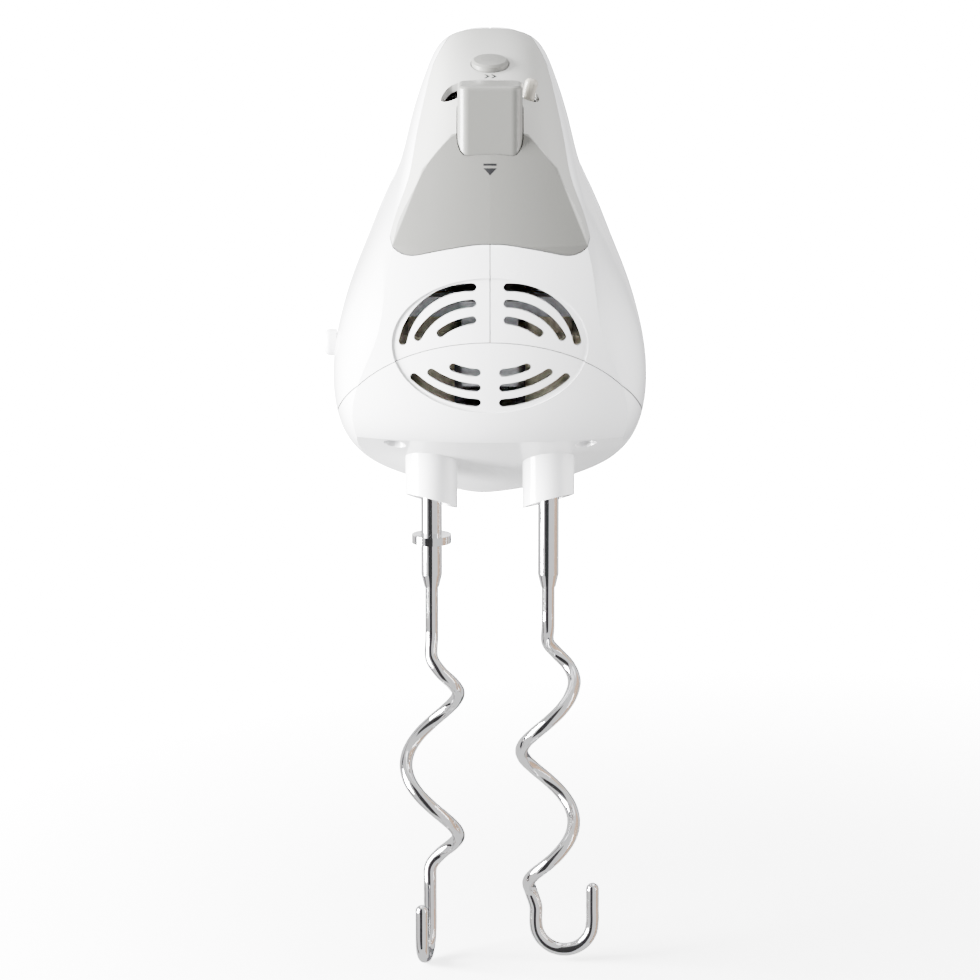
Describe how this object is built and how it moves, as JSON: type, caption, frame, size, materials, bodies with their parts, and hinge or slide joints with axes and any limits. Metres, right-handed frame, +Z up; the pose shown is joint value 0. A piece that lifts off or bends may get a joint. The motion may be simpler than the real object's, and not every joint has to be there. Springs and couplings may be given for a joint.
{
  "type": "hand mixer",
  "caption": "Hand-held kitchen mixer with a closed D-grip, release and boost buttons, a speed lever, a nose grille and two counter-turning wire dough hooks that pull out.",
  "frame": {"origin": "middle of the hand grip, above the finger opening", "axes": "+Z up, -Y towards the nose with the grille, +X the right-hand side seen from the nose; hooks hang along -Z"},
  "size_m": [0.1003, 0.1793, 0.2867],
  "materials": {
    "white_plastic": "satin",
    "grey_plastic": "fine matt",
    "light_grey_button": "satin",
    "cream_plastic": "satin",
    "stud_plastic": "satin",
    "black_plastic": "moulded",
    "nylon": "moulded",
    "disc_plastic": "satin",
    "hook_steel": "polished",
    "steel": "turned",
    "spring_steel": "drawn",
    "lamination_steel": "stacked sheet",
    "copper_winding": "enamelled",
    "commutator_copper": "turned",
    "brass": "pressed",
    "bronze_bush": "sintered",
    "carbon": "pressed carbon",
    "rubber_bush": "moulded",
    "zinc": "die cast"
  },
  "bodies": {
    "housing": {"housing_left": "white_plastic", "housing_right": "white_plastic", "base_cover": "white_plastic", "handle_cover": "grey_plastic", "side_stud": "stud_plastic", "cord_inlet_bush": "rubber_bush", "housing_screws": "steel", "eject_spring": "spring_steel", "switch_carrier": "black_plastic", "speed_switch": "black_plastic", "turbo_spring": "spring_steel", "turbo_switch": "black_plastic", "stator_core": "lamination_steel", "field_coils": "copper_winding", "front_bearing": "bronze_bush", "rear_bearing": "bronze_bush", "motor_front_bracket": "zinc", "motor_rear_bracket": "zinc", "stator_screws": "steel", "brush_holders": "brass", "carbon_brushes": "carbon", "brush_springs": "spring_steel", "brush_plate": "black_plastic", "spindle_bushes": "bronze_bush", "gear_frame": "zinc"},
    "armature": {"worm_shaft": "steel", "armature_core": "lamination_steel", "armature_windings": "copper_winding", "commutator": "commutator_copper", "cooling_fan": "nylon"},
    "spindle_left": {"spindle_left": "steel", "worm_wheel_left": "nylon", "retaining_ring_left": "spring_steel"},
    "spindle_right": {"spindle_right": "steel", "worm_wheel_right": "nylon", "retaining_ring_right": "spring_steel"},
    "hook_left": {"hook_left_shaft": "hook_steel", "hook_left_wire": "hook_steel", "hook_left_disc": "disc_plastic"},
    "hook_right": {"hook_right_shaft": "hook_steel", "hook_right_wire": "hook_steel"},
    "release": {"eject_button": "light_grey_button", "ejector_yoke": "nylon"},
    "boost": {"turbo_button": "light_grey_button"},
    "lever": {"speed_lever": "cream_plastic"}
  },
  "joints": [
    {"name": "armature_spin", "type": "hinge", "parent": "housing", "child": "armature", "pos_m": [0, -0.023, -0.073], "axis": [0, 1, 0], "continuous": true},
    {"name": "spindle_left_spin", "type": "hinge", "parent": "housing", "child": "spindle_left", "pos_m": [-0.018, -0.085, -0.089], "axis": [0, 0, 1], "continuous": true},
    {"name": "spindle_right_spin", "type": "hinge", "parent": "housing", "child": "spindle_right", "pos_m": [0.018, -0.085, -0.089], "axis": [0, 0, 1], "continuous": true},
    {"name": "hook_left_slide", "type": "slide", "parent": "spindle_left", "child": "hook_left", "axis": [0, 0, -1], "range_m": [0, 0.052]},
    {"name": "hook_right_slide", "type": "slide", "parent": "spindle_right", "child": "hook_right", "axis": [0, 0, -1], "range_m": [0, 0.052]},
    {"name": "release_press", "type": "slide", "parent": "housing", "child": "release", "axis": [0, 0, -1], "range_m": [0, 0.005], "stiffness_N_per_m": 400, "springref_m": -0.004, "deforming": ["eject_spring"]},
    {"name": "boost_press", "type": "slide", "parent": "housing", "child": "boost", "axis": [0, 0.225, -0.9744], "range_m": [0, 0.0018], "stiffness_N_per_m": 300, "springref_m": -0.003, "deforming": ["turbo_spring"]},
    {"name": "speed_lever_swing", "type": "hinge", "parent": "housing", "child": "lever", "pos_m": [0, -0.0773, -0.047], "axis": [0, 1, 0], "range_deg": [-26.8, 0]}
  ],
  "couplings": [
    {"joint": "spindle_left_spin", "follows": "armature_spin", "ratio": -0.071429},
    {"joint": "spindle_right_spin", "follows": "armature_spin", "ratio": 0.071429}
  ]
}
